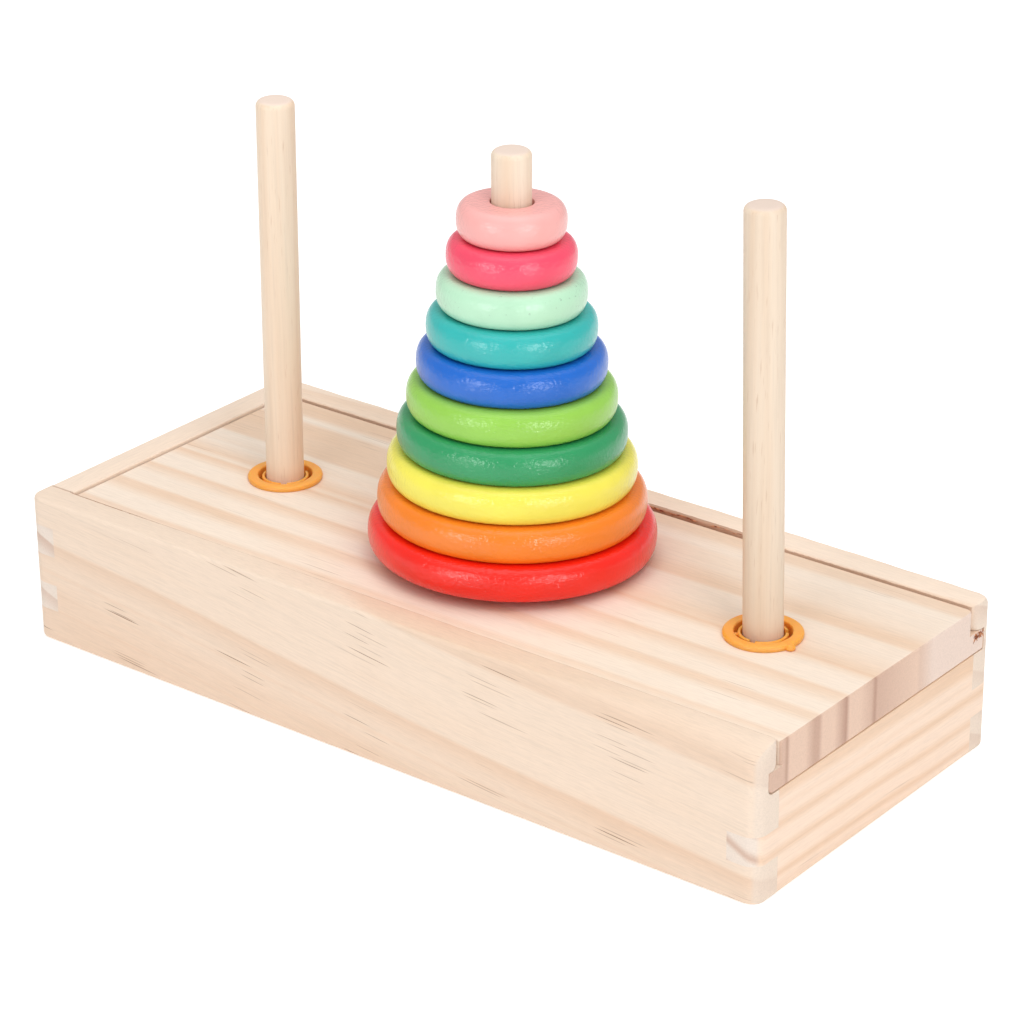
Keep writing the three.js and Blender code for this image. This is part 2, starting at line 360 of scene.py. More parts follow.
# Brown of the seam mark on the long walls: partly painted shade of the narrow gap, partly the splintered
# edge's brown.
SHADE_AND_SPLINTER_COLOUR = (160, 112, 80)
SHADE_AND_SPLINTER_FOOT = 4.0

Grain = namedtuple("Grain", "along up across shifted layer")
ShadeAndSplinter = namedtuple("ShadeAndSplinter", "span reach ceiling strength")


def ring_level(ring, place):
    """How dark a ring is at a place: it darkens from its start to its band, and pales again to its end."""
    start, band_start, band_end, end, darkness = ring
    rise = (place - start) / (band_start - start)
    fall = (end - place) / (end - band_end)
    return darkness * max(0.0, min(1.0, rise, fall))


def ring_stops(rings):
    """Ramp stops for growth rings that lie over one another."""
    low, high = LAYER_SPAN
    places = sorted({float(edge) for ring in rings for edge in ring[:4]})
    levels = [sum(ring_level(ring, place) for ring in rings) for place in places]
    return [((place - low) / (high - low), level) for place, level in zip(places, levels)]


def grain_of(s, axis, across_first, seed, slope, lean, face, wave, sway):
    """A board's directions in mm: along its grain, up through its layers and across. The layer is the
    height up, with the layers' slope, lean, waves and sway taken in."""
    x, y, z = s.split(s.place())
    along, up, across = {"X": (x, z, y), "Y": (y, z, x)}[axis]
    if across_first:
        up, across = across, up
    shifted = s.math("ADD", along, seed * SEED_SHIFT)
    layer = s.math("MULTIPLY_ADD", along, slope, up)
    layer = s.math("MULTIPLY_ADD", s.math("SUBTRACT", across, face), lean, layer)
    slow = s.noise(s.stretch((shifted, up, across), WAVE_GRAIN), 1.0, 3.0, 0.45)
    layer = s.math("MULTIPLY_ADD", s.math("SUBTRACT", slow, 0.5), wave, layer)
    if sway:
        turn = s.math("MULTIPLY", s.math("ADD", along, SWAY_SHIFT), 2 * math.pi / SWAY_LENGTH)
        layer = s.math("MULTIPLY_ADD", s.math("COSINE", turn), -sway, layer)
    return Grain(along, up, across, shifted, layer)


def even_rings(s, layer, spacing, seed):
    """Rings that darken slowly and end sharply, some darker than others."""
    phase = s.math("ADD", s.math("DIVIDE", layer, spacing), seed * 1.7)
    share = s.math("FRACT", phase)
    ring = s.math("FLOOR", phase)
    rise = s.fit(share, 0.25, 0.93, kind="SMOOTHSTEP")
    fall = s.fit(share, 0.93, 0.99, 1.0, 0.0)
    level = s.noise(s.join(ring, seed, 0.0), 3.7, 0.0)
    return s.math("MULTIPLY", s.math("MULTIPLY", rise, fall), s.fit(level, 0.3, 0.7, 0.25, 1.0))


def pore_dashes(s, grain, cut, zone):
    """Pores as dashes along the grain: at most one in each long flat cell, and none in most cells."""
    cell = s.tree.nodes.new("ShaderNodeTexVoronoi")
    cell.voronoi_dimensions = "2D"
    cell.inputs["Scale"].default_value = 1.0
    flat = s.stretch((grain.shifted, grain.layer), (1 / PORE_CELL_LENGTH, 1 / PORE_CELL_HEIGHT))
    s.put(cell.inputs["Vector"], flat)
    pick, length, depth = s.split(cell.outputs["Color"])
    far_out = s.math("DIVIDE", cell.outputs["Distance"], s.fit(length, 0.0, 1.0, 0.45, 1.0))
    dash = s.math("MULTIPLY", s.fit(far_out, 0.15, 0.22, 1.0, 0.0), s.fit(pick, cut, cut + 0.01))
    dash = s.math("MULTIPLY", dash, s.fit(depth, 0.0, 1.0, 0.4, 0.95))
    if zone:
        dash = s.math("MULTIPLY", dash, s.ramp(s.fit(grain.layer, *LAYER_SPAN), ring_stops(zone)))
    where = s.noise(s.stretch((grain.shifted, grain.layer, grain.across), PORE_ZONE_GRAIN), 1.0, 1.0)
    return s.math("MULTIPLY", dash, s.fit(where, 0.35, 0.5, 0.55, 1.0), clamp=True)


def shade_and_splinter_mark(s, grain, shade_and_splinter, seed):
    """A ragged brown mark on a long wall's top, beside the lid's seam: partly painted shade of the narrow
    gap, partly the brown of the rough, splintered edge. It spans a length of the wall, and each pair gives a
    value outside that length and one inside it."""
    start, stop = shade_and_splinter.span
    opening = s.fit(grain.along, start - 1.5, start + 1.5)
    inside = s.math("MULTIPLY", opening, s.fit(grain.along, stop - 9.0, stop + 9.0, 1.0, 0.0))
    rag = s.noise(s.stretch((grain.along, grain.up, seed), RAG_GRAIN), 1.0, 4.0, 0.7)
    ragged = s.math("SUBTRACT", rag, 0.5)
    outward = s.math("SUBTRACT", s.math("ABSOLUTE", grain.across), INNER_Y)
    outward = s.math("MULTIPLY_ADD", ragged, 0.7, outward)
    mark = s.fit(s.math("SUBTRACT", s.fit(inside, 0.0, 1.0, *shade_and_splinter.reach), outward), 0.0, 0.12)
    ceiling = s.math("MULTIPLY_ADD", ragged, 0.8, s.fit(inside, 0.0, 1.0, *shade_and_splinter.ceiling))
    mark = s.math("MULTIPLY", mark, s.fit(s.math("SUBTRACT", ceiling, grain.up), 0.0, 0.12))
    foot = GROOVE_TOP + SHADE_AND_SPLINTER_FOOT
    mark = s.math("MULTIPLY", mark, s.fit(grain.up, foot, foot + 1.0))
    return s.math("MULTIPLY", mark, s.fit(inside, 0.0, 1.0, *shade_and_splinter.strength), clamp=True)


def wood(name, axis, tones, end_tones, rings=None, far_rings=None, blend=(-1.0, 1.0), end_face_rings=None,
         slope=0.0, sway=0.0, lean=0.0, face=0.0, wave=1.0, spacing=7.0, ring_strength=1.0, end_rings=0.45,
         dashes=0.5, dash_cut=0.9, dash_zone=None, end_from=(0.45, 0.75), far_end=None, shade_and_splinter=None,
         seed=0.0, across_first=False):
    """Softwood with the grain along an axis. Growth layers cross the board as bands, the pores show as
    fine dark dashes, and faces square to the grain show end grain."""
    s = Shader(name)
    grain = grain_of(s, axis, across_first, seed, slope, lean, face, wave, sway)
    run = (grain.shifted, grain.layer, grain.across)
    height = s.fit(grain.layer, *LAYER_SPAN)
    latewood = s.ramp(height, ring_stops(rings)) if rings else even_rings(s, grain.layer, spacing, seed)
    if far_rings:
        latewood = s.mix(s.fit(grain.along, *blend), latewood, s.ramp(height, ring_stops(far_rings)))
    patch = s.noise(s.stretch(run, PATCH_GRAIN))
    strength = s.fit(patch, 0.3, 0.7, 0.85 * ring_strength, 1.1 * ring_strength)
    amount = s.math("MULTIPLY", latewood, strength, clamp=True)
    light, dark = tones
    blush = tuple(c * k for c, k in zip(light, (0.99, 0.95, 0.91)))
    colour = s.mix(s.fit(patch, 0.5, 0.8, 0.0, 0.5), s.mix(amount, light, dark), s.mix(amount, blush, dark))
    fibre = s.noise(s.stretch(run, FIBRE_GRAIN), 1.0, 4.0, 0.6)
    colour = s.tint(colour, fibre, [(0.25, 0.94), (0.5, 1.0), (0.75, 1.015)])
    fleck = s.noise(s.stretch(run, FLECK_GRAIN), 1.0, 3.0, 0.7)
    colour = s.tint(colour, fleck, [(0.3, 0.945), (0.5, 1.0), (0.7, 1.04)])

    end = s.fit(s.math("ABSOLUTE", s.facing(axis)), *end_from, kind="SMOOTHSTEP")
    dash = pore_dashes(s, grain, dash_cut, dash_zone)
    if not across_first:
        dash = s.math("MULTIPLY", dash, s.fit(s.math("ABSOLUTE", s.facing("Z")), 0.3, 0.7, 1.0, 0.0))
    shown = s.math("MULTIPLY", s.math("MULTIPLY", dash, dashes), s.math("SUBTRACT", 1.0, end))
    colour = s.mix(shown, colour, srgb(*PORE_COLOUR))
    # A ragged brown strip beside the lid's seam: partly painted shade of the gap, partly splintered wood.
    if shade_and_splinter:
        colour = s.mix(shade_and_splinter_mark(s, grain, shade_and_splinter, seed), colour, srgb(*SHADE_AND_SPLINTER_COLOUR))

    end_light, end_dark = end_tones
    if far_end:
        edge, far_tone = far_end
        end_light = s.mix(s.fit(grain.layer, edge - 0.8, edge + 6.0), end_light, far_tone)
    if end_face_rings:
        end_amount = s.ramp(height, ring_stops(end_face_rings))
    else:
        end_amount = s.math("MULTIPLY", latewood, end_rings)
    speckle = s.noise(s.stretch((grain.along, grain.up, grain.across), SPECKLE_GRAIN), 1.0, 3.0, 0.7)
    end_colour = s.mix(end_amount, end_light, end_dark)
    end_colour = s.tint(end_colour, speckle, [(0.3, 0.93), (0.5, 1.0), (0.7, 1.05)])
    colour = s.mix(end, colour, end_colour)

    relief = s.math("MULTIPLY_ADD", dash, -0.6, s.math("MULTIPLY", fibre, s.fit(end, 0.0, 1.0, 0.5, 0.9)))
    return s.surface(Base_Color=colour, Roughness=s.fit(fibre, 0.3, 0.7, 0.56, 0.68),
                     Normal=s.bump(relief, 0.35, 0.00012), Specular_IOR_Level=0.3)


FRONT_TONES = (srgb(234, 213, 193), srgb(222, 188, 160))
SIDE_TONES = (srgb(241, 216, 195), srgb(228, 194, 164))
REAR_TONES = (srgb(239, 219, 200), srgb(228, 196, 168))
LID_TONES = (srgb(238, 221, 204), srgb(227, 194, 165))
SIDE_END_TONES = (srgb(229, 211, 194), srgb(196, 160, 140))
FINGER_TONES = (srgb(229, 214, 201), srgb(198, 160, 138))
LID_END_TONES = (srgb(223, 192, 171), srgb(180, 142, 124))
LID_FAR_END = srgb(228, 206, 192)
PANEL_TONES = (srgb(226, 198, 160), srgb(196, 156, 112))
PANEL_END_TONES = (srgb(206, 176, 140), srgb(170, 132, 96))

# Growth rings: start, where the dark band starts and ends, end, all in mm, and a rough darkness. The
# outermost ones reach past the board. The lid's are counted across it, near its left end, near its
# right end, and on its end face.
LID_LEFT_RINGS = [
    (-60, -50, -44, -42, 0.3), (-44, -40, -40, -38.5, 0.65), (-33, -28.5, -26, -25, 0.7),
    (-20, -14.5, -14.5, -13, 0.85), (-7, -2.5, -2.5, -1, 0.95), (-1.5, 1, 1, 7, 0.8),
    (7, 8.5, 8.5, 12, 0.2), (13.5, 15, 30, 32, 0.8), (33, 35.5, 50, 52, 0.85),
]
LID_RIGHT_RINGS = [
    (-60, -50, -43, -42, 0.15), (-43, -39, -39, -37.5, 0.55), (-31.5, -28.5, -26.5, -25, 0.6),
    (-21, -14.5, -14.5, -13, 0.7), (-6, -2.5, -0.5, 8, 0.7), (-3.5, -2.5, -2.5, -1.5, 0.25),
    (3, 7, 25, 34, 0.15), (13.5, 15, 17.5, 23.5, 0.65), (35.5, 37.5, 50, 52, 0.65),
]
LID_END_RINGS = [
    (-60, -50, -40, -38, 0.35), (-40.5, -39.5, -39.5, -38.5, 0.6), (-32, -28.5, -26.5, -25, 0.65),
    (-20, -15, -15, -13.5, 0.95), (-9, -2.5, -1, 16, 0.5), (-4, -2.5, -2.5, -1.5, 0.5),
    (16, 17.5, 17.5, 24, 0.2),
]
# By height: the front wall's at mid length, and the right end wall's at mid width.
FRONT_RINGS = [
    (-30, -20, 3, 13, 0.4), (-2, -1.5, -1.5, -1, 0.2), (3, 3.5, 3.5, 4.5, 0.1), (8.5, 9.5, 9.5, 10.5, 0.3),
    (10, 17.5, 17.5, 18.5, 0.7), (41.5, 42.5, 46, 54, 0.5),
]
RIGHT_RINGS = [
    (-10, -5, 1, 2.5, 0.3), (2.5, 4, 4, 5.5, 0.9), (8.5, 10, 10, 12, 0.9), (15, 17, 17, 19, 1.0),
    (20, 21, 21, 22.5, 0.3), (23, 25, 34, 36, 0.8),
]
# Where the front wall's pores show, by the same heights.
FRONT_PORES = [(-30, -20, 13, 16, 1.0), (13, 16, 28, 30, 0.1), (28, 30, 54, 60, 0.9)]


# ---------------------------------------------------------------- the box


def front_sanding(x):
    """Width and depth of the front wall's top outer rounding: it grows towards the lid's end."""
    t = smooth(150.0, 225.0, x + HALF_LENGTH)
    wobble = 0.12 * math.sin(x * 0.31) + 0.1 * math.sin(x * 0.83 + 1.0)
    return 1.3 + wobble + 6.2 * t * t, 1.0 + 0.6 * wobble + 3.7 * t


def rear_sanding(x):
    """The rear wall's rounding, which grows only a little."""
    wobble = 0.15 * math.sin(x * 0.27 + 2.0) + 0.1 * math.sin(x * 0.71)
    grown = smooth(60.0, 116.0, x)
    return 1.2 + wobble + 1.0 * grown, 1.0 + 0.5 * wobble + 0.8 * grown


def side_section(x, sanding):
    """The front wall's outline across its length at x, from the outer foot round to the inner one."""
    edge = HALF_LENGTH - abs(x)
    outer = -HALF_WIDTH + inset(edge, CORNER_RADIUS)
    lip_inner = -INNER_Y - (inset(HALF_LENGTH - x, LIP_CORNER) if x > 0 else 0.0)
    foot = inset(edge, END_EASE)
    top = HEIGHT - foot
    width, depth = sanding(x)
    across = lip_inner - outer
    arris = min(ARRIS, 0.25 * across) if x > LEFT_INNER_X else 0.05
    width = min(width, 0.72 * across)
    points = arc(outer + BOTTOM_EASE, foot + BOTTOM_EASE, BOTTOM_EASE, BOTTOM_EASE, 270, 180, 4)
    points += arc(outer + width, top - depth, width, depth, 180, 90, 8)
    points += arc(lip_inner - arris, top - arris, arris, arris, 90, 0, 4)
    points += [(lip_inner, GROOVE_TOP + LIP_NOTCH), (lip_inner - 0.6 * LIP_NOTCH, GROOVE_TOP)]
    points += [(-INNER_Y, GROOVE_TOP)]
    points += arc(-INNER_Y - INNER_EASE, foot + INNER_EASE, INNER_EASE, INNER_EASE, 0, -90, 2)
    return [(x, y, z) for y, z in points]


def groove_cutter(corner):
    """The lid's groove, from the left end wall out through the right end, with a rounded inner corner."""
    back = -INNER_Y - GROOVE_DEPTH
    mouth = -INNER_Y + CUT_PAST
    outline = [(mouth, LOW_END), (mouth, GROOVE_TOP), (back, GROOVE_TOP)]
    outline += arc(back + corner, LOW_END + corner, corner, corner, 180, 270, 6)
    return loft("groove", [[(x, y, z) for y, z in outline] for x in (LEFT_INNER_X, HALF_LENGTH + CUT_PAST)])


def mirrored(wall, axis):
    wall.data.transform(Matrix.Scale(-1, 4, axis))
    wall.data.flip_normals()
    return wall


def side_wall(name, sanding, groove_corner):
    """A long wall as it stands in front, with the end walls' fingers and the grooves cut out."""
    places = stations(-HALF_LENGTH, HALF_LENGTH, CORNER_RADIUS, 2.6)
    wall = loft(name, [side_section(x, sanding) for x in places])
    through = (-HALF_WIDTH - CUT_PAST, -INNER_Y + CUT_PAST)
    for band in LEFT_FINGERS:
        combine(wall, block((-HALF_LENGTH - CUT_PAST, LEFT_INNER_X), through, band))
    for band in RIGHT_FINGERS:
        combine(wall, block((RIGHT_INNER_X, HALF_LENGTH + CUT_PAST), through, band))
    combine(wall, groove_cutter(groove_corner))
    reach = LEFT_INNER_X - PANEL_GROOVE_DEPTH
    combine(wall, block((reach, -reach), (-INNER_Y - PANEL_GROOVE_DEPTH, -INNER_Y + CUT_PAST), PANEL_GROOVE))
    return wall


def end_section(y, height, top_ease):
    """The left end wall's outline at y. Only a full-height wall's top drops at the corners."""
    edge = HALF_WIDTH - abs(y)
    outer = -HALF_LENGTH + inset(edge, CORNER_RADIUS)
    foot = inset(edge, END_EASE)
    top = height - (foot if height == HEIGHT else 0.0)
    points = arc(outer + BOTTOM_EASE, foot + BOTTOM_EASE, BOTTOM_EASE, BOTTOM_EASE, 270, 180, 4)
    points += arc(outer + top_ease, top - top_ease, top_ease, top_ease, 180, 90, 6)
    points += arc(LEFT_INNER_X - 0.5, top - 0.5, 0.5, 0.5, 90, 0, 3)
    points += arc(LEFT_INNER_X - INNER_EASE, foot + INNER_EASE, INNER_EASE, INNER_EASE, 0, -90, 2)
    return [(x, y, z) for x, z in points]


def end_wall(name, height, fingers, top_ease):
    """An end wall as it stands at the left, cut back between its fingers."""
    places = stations(-HALF_WIDTH, HALF_WIDTH, CORNER_RADIUS, 3.0)
    wall = loft(name, [end_section(y, height, top_ease) for y in places])
    edges = [z for low, high in fingers for z in (low + SEAM, high - SEAM)]
    heights = [-CUT_PAST, *edges, HEIGHT + CUT_PAST]
    past_inside = LEFT_INNER_X + CUT_PAST
    for side in (-1, 1):
        span = sorted((side * (INNER_Y - SEAM), side * (HALF_WIDTH + CUT_PAST)))
        for low, high in zip(heights[::2], heights[1::2]):
            combine(wall, block((-HALF_LENGTH - CUT_PAST, past_inside), span, (low, high)))
    reach = INNER_Y + PANEL_GROOVE_DEPTH
    combine(wall, block((LEFT_INNER_X - PANEL_GROOVE_DEPTH, past_inside), (-reach, reach), PANEL_GROOVE))
    return wall


def dress(obj, material, body, slot, *nodes):
    """Gives a piece its material and body, and hides the CAD nodes it stands in for. The slot is not used."""
    obj.data.materials.clear()
    obj.data.materials.append(material)
    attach(obj, body)
    if nodes:
        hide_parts(*nodes)
    return obj


# The front and rear walls get a ragged brown strip beside the lid's seam that is partly painted shade of the
# gap.
front_pine = wood("pine_front", "X", FRONT_TONES, SIDE_END_TONES, FRONT_RINGS, slope=0.099, sway=0.8,
                  lean=0.3, face=-HALF_WIDTH, wave=1.6, dashes=0.95, dash_cut=0.72, dash_zone=FRONT_PORES,
                  end_rings=0.3,
                  shade_and_splinter=ShadeAndSplinter((LEFT_INNER_X, -78.0), (0.62, 0.85), (HEIGHT + 1, HEIGHT + 1), (0.45, 0.85)),
                  seed=1.0)
rear_pine = wood("pine_rear", "X", REAR_TONES, SIDE_END_TONES, spacing=9.0, slope=-0.03, lean=0.5, wave=5.0,
                 ring_strength=0.45, dashes=0.5, dash_cut=0.93,
                 shade_and_splinter=ShadeAndSplinter((16.0, 52.0), (0.3, 1.15), (HEIGHT - 0.5, HEIGHT + 1), (0.5, 0.72)), seed=2.0)
left_pine = wood("pine_left", "Y", REAR_TONES, FINGER_TONES, spacing=8.0, slope=0.04, lean=0.4, wave=5.0,
                 ring_strength=0.45, dashes=0.5, dash_cut=0.93, end_rings=0.8, seed=3.0)
right_pine = wood("pine_right", "Y", SIDE_TONES, FINGER_TONES, RIGHT_RINGS, slope=0.028, lean=0.5,
                  face=HALF_LENGTH, wave=2.4, dashes=0.25, dash_cut=0.93, end_rings=0.9, seed=4.0)
lid_pine = wood("lid_pine", "X", LID_TONES, LID_END_TONES, LID_LEFT_RINGS, LID_RIGHT_RINGS, (-90.0, 95.0),
                LID_END_RINGS, wave=1.3, dashes=0.4, dash_cut=0.9, end_from=(0.3, 0.55),
                far_end=(16.8, LID_FAR_END), seed=5.0, across_first=True)

front_wall = side_wall("front_wall_board", front_sanding, TONGUE_CORNERS[0])
rear_wall = mirrored(side_wall("rear_wall_board", rear_sanding, TONGUE_CORNERS[1]), (0, 1, 0))
left_wall = end_wall("left_end_board", HEIGHT, LEFT_FINGERS, LEFT_TOP_EASE)
right_wall = mirrored(end_wall("right_end_board", LOW_END, RIGHT_FINGERS, RIGHT_TOP_EASE), (1, 0, 0))
for wall, pine, node in (
    (front_wall, front_pine, "front_wall"), (rear_wall, rear_pine, "rear_wall"),
    (left_wall, left_pine, "left_end_wall"), (right_wall, right_pine, "right_end_wall"),
):
    dress(finish_mesh(wall), pine, "box", "pine", node)


# ---------------------------------------------------------------- torn fibres at the rear wall's lip


def sliver(start, along, wide, deep):
    """Points and faces of a thin splinter: a flat body tapering to a point at each end."""
    start, along, wide, deep = Vector(start), Vector(along), Vector(wide) / 2, Vector(deep) / 2
    middle = start + along * 0.4
    ring = [middle + wide, middle + deep, middle - wide, middle - deep]
    verts = [start, *ring, start + along]
    faces = [(0, 1 + (i + 1) % 4, 1 + i) for i in range(4)]
    faces += [(5, 1 + i, 1 + (i + 1) % 4) for i in range(4)]
    return [tuple(v) for v in verts], faces


SEAM_SPLINTERS = 30
LIP_SPLINTERS = 34


def torn_fibres():
    """Splinters along the lid's seam, and raised ones below the rear wall's lip at the right end."""
    chance = random.Random(7)
    verts, faces = [], []

    def add(*shape):
        points, sides = sliver(*shape)
        faces.extend(tuple(len(verts) + i for i in side) for side in sides)
        verts.extend(points)

    for _ in range(SEAM_SPLINTERS):
        x = chance.uniform(15.0, 58.0)
        length, thick = chance.uniform(2.0, 6.5), chance.uniform(0.12, 0.26)
        start = (x, INNER_Y - chance.uniform(-0.05, 0.12), chance.uniform(HEIGHT - 0.6, HEIGHT - 0.15))
        run = (length, chance.uniform(-0.05, 0.1), chance.uniform(-0.12, 0.12))
        add(start, run, (0, thick, 0), (0, 0, thick))
    for _ in range(LIP_SPLINTERS):
        y = chance.uniform(INNER_Y, INNER_Y + 3.6)
        tilt = math.radians(chance.uniform(-150, -20))
        length, thick = chance.uniform(0.9, 2.2), chance.uniform(0.22, 0.4)
        start = (HALF_LENGTH - chance.uniform(-0.12, 0.06), y, GROOVE_TOP - chance.uniform(0.0, 1.4))
        run = (0.1, length * math.cos(tilt), length * math.sin(tilt))
        add(start, run, (thick, 0, 0), (0, thick, thick))
    return finish_mesh(mesh_object("torn_fibres", verts, faces), 20)


def torn_wood():
    """Raw wood for the splinters: dark reddish brown, with lighter patches by noise."""
    s = Shader("torn_wood")
    tone = s.noise(s.place(), 0.9, 2.0, 0.6)
    colour = s.mix(s.fit(tone, 0.4, 0.62), srgb(132, 70, 42), srgb(214, 152, 108))
    return s.surface(Base_Color=colour, Roughness=s.fit(tone, 0.3, 0.7, 0.6, 0.75))


dress(torn_fibres(), torn_wood(), "box", "pine")


# ---------------------------------------------------------------- the lid


def lid_section(x):
    """The lid's outline across its length at x: the board between its two tongues."""
    edge = HALF_LENGTH - x
    drop = inset(edge, LID_END_EASE)
    top, foot = LID_HIGH.z - drop, LID_LOW.z + drop * 0.6
    tongue = INNER_Y + GROOVE_DEPTH - TONGUE_SIDE_GAP - drop

    def side(corner, tongue_corner):
        half = INNER_Y - LID_SIDE_GAP - inset(edge, corner)
        points = arc(tongue - tongue_corner, foot + tongue_corner, tongue_corner, tongue_corner, -90, 0, 6)
        points += arc(tongue - INNER_EASE, TONGUE_TOP - INNER_EASE, INNER_EASE, INNER_EASE, 0, 90, 2)
        points += [(half, TONGUE_TOP)]
        return points + arc(half - LID_EASE, top - LID_EASE, LID_EASE, LID_EASE, 0, 90, 4)

    near, far = (side(*corners) for corners in zip(LID_CORNERS, TONGUE_CORNERS))
    return [(x, y, z) for y, z in far + [(-y, z) for y, z in reversed(near)]]


def lid():
    """The lid's board, with a round hole for each socket."""
    low, high = LID_LOW.x, HALF_LENGTH
    corner = max(LID_CORNERS)
    ends = [corner * (1 - math.cos(math.radians(a))) for a in (90, 80, 70, 60, 50, 42, 34, 26, 18, 10, 0)]
    run = [low + (high - corner - low) * i / 60 for i in range(60)]
    board = loft("lid_board", [lid_section(x) for x in run + [high - e for e in ends]])
    under, over = LID_LOW.z - CUT_PAST, LID_HIGH.z + CUT_PAST
    for side in ("left", "middle", "right"):
        cup_low, cup_high = box_mm(f"socket_{side}")
        centre = (cup_low + cup_high) / 2
        outline = [(0, under), (LID_HOLE_RADIUS, under), (LID_HOLE_RADIUS, over), (0, over)]
        hole = lathe("hole", outline, 64)
        hole.data.transform(Matrix.Translation((centre.x * MM, centre.y * MM, 0)))
        combine(board, hole)
    return finish_mesh(board)


dress(lid(), lid_pine, "lid", "lid_pine", "sliding_lid")


# ---------------------------------------------------------------- plastic, pegs and paint


def plastic():
    """Moulded orange plastic that lets a little light in."""
    s = Shader("orange_plastic")
    place = s.place()
    cloud = s.noise(place, 0.15, 2.0)
    colour = s.mix(s.fit(cloud, 0.35, 0.65), srgb(255, 166, 64), srgb(251, 172, 78))
    skin = s.noise(place, 1.4, 3.0, 0.6)
    return s.surface(Base_Color=colour, Roughness=s.fit(skin, 0.3, 0.7, 0.34, 0.44),
                     Normal=s.bump(skin, 0.12, 0.0001), Subsurface_Weight=0.4,
                     Subsurface_Scale=0.003, Subsurface_Radius=(1.0, 0.45, 0.15))


def socket(name, node, turn, flash=None):
    """A flange over a cup, with a sleeve inside that three slots divide and three ribs hold. The flash is
    the angle of a small lump on the flange's rim."""
    low, high = box_mm(node)
    centre = (low + high) / 2
    top, bottom = high.z, low.z
    flange, barrel, recess, sleeve_out, sleeve_in = 10.0, 8.1, 7.2, 6.2, 5.45
    under = LID_HIGH.z + 0.05
    floor_z = bottom + 1.0
    sleeve_top = top - 0.5
    outline = [(0, bottom)]
    outline += arc(barrel - 0.4, bottom + 0.4, 0.4, 0.4, -90, 0, 3)
    outline += [(barrel, under), (flange - 0.15, under)]
    outline += arc(flange - 0.75, top - 0.75, 0.75, 0.75, 0, 90, 6)
    outline += arc(recess + 0.45, top - 0.45, 0.45, 0.45, 90, 180, 4)
    outline += [(recess - 0.05, floor_z), (sleeve_out + 0.1, floor_z), (sleeve_out, sleeve_top - 0.2)]
    outline += [(sleeve_out - 0.2, sleeve_top), (sleeve_in + 0.15, sleeve_top)]
    outline += [(sleeve_in, sleeve_top - 0.15), (sleeve_in, floor_z), (0, floor_z)]
    cup = lathe(name, outline, 96)
    for k in range(3):
        rib = block((sleeve_out - 0.2, recess + 0.3), (-0.55, 0.55), (floor_z - 0.3, top - 1.0))
        slot = block((sleeve_in - 0.4, sleeve_out + 0.5), (-0.8, 0.8), (floor_z + 1.5, top + 1))
        rib.data.transform(Matrix.Rotation(math.radians(120 * k), 4, "Z"))
        slot.data.transform(Matrix.Rotation(math.radians(120 * k + 60), 4, "Z"))
        combine(cup, rib, "UNION")
        combine(cup, slot)
    cup.data.transform(Matrix.Rotation(math.radians(turn), 4, "Z"))
    if flash:
        angle = math.radians(flash)
        rim = flange + 0.1
        bulge = [(1.3 * across, 0.9 * up) for across, up in arc(0, 0, 1, 1, -60, 60, 6)]
        lump = lathe("lump", [(0, -0.9)] + bulge + [(0, 0.9)], 16)
        spot = Vector((rim * math.cos(angle), rim * math.sin(angle), under + 0.5))
        lump.data.transform(Matrix.Translation(spot * MM))
        combine(cup, lump, "UNION")
    cup.data.transform(Matrix.Translation((centre.x * MM, centre.y * MM, 0)))
    return finish_mesh(cup, 40)


orange_plastic = plastic()
for side, turn, flash in (("left", 128, None), ("middle", 0, None), ("right", 218, -15.4)):
    cup = socket(f"socket_{side}_moulding", f"socket_{side}", turn, flash)
    dress(cup, orange_plastic, "lid", "socket_plastic", f"socket_{side}")


def dowel_wood(name, seed, shade):
    """Pale close-grained wood, straight along Z, with paler ends."""
    s = Shader(name)
    x, y, z = s.split(s.place())
    run = s.math("ADD", z, seed * 31.0)
    broad = s.noise(s.stretch((x, y, run), (0.22, 0.22, 0.006)))
    fibre = s.noise(s.stretch((x, y, run), (1.5, 1.5, 0.035)), 1.0, 4.0, 0.6)
    pore = s.noise(s.stretch((x, y, run), (3.0, 3.0, 0.16)), 1.0, 1.0)
    colour = s.mix(s.fit(broad, 0.35, 0.65), srgb(247, 228, 206), srgb(240, 214, 187))
    colour = s.tint(colour, fibre, [(0.25, 0.93), (0.5, 1.0), (0.8, 1.02)])
    colour = s.mix(s.fit(pore, 0.66, 0.78, 0.0, 0.35), colour, srgb(196, 150, 112))
    end = s.fit(s.facing("Z"), 0.7, 0.95)
    colour = s.mix(end, colour, srgb(238, 217, 202))
    colour = s.mix(1.0, colour, (shade,) * 3, "MULTIPLY")
    relief = s.math("MULTIPLY_ADD", pore, -0.4, fibre)
    return s.surface(Base_Color=colour, Roughness=s.fit(fibre, 0.3, 0.7, 0.46, 0.58),
                     Normal=s.bump(relief, 0.25, 0.0001), Specular_IOR_Level=0.4)


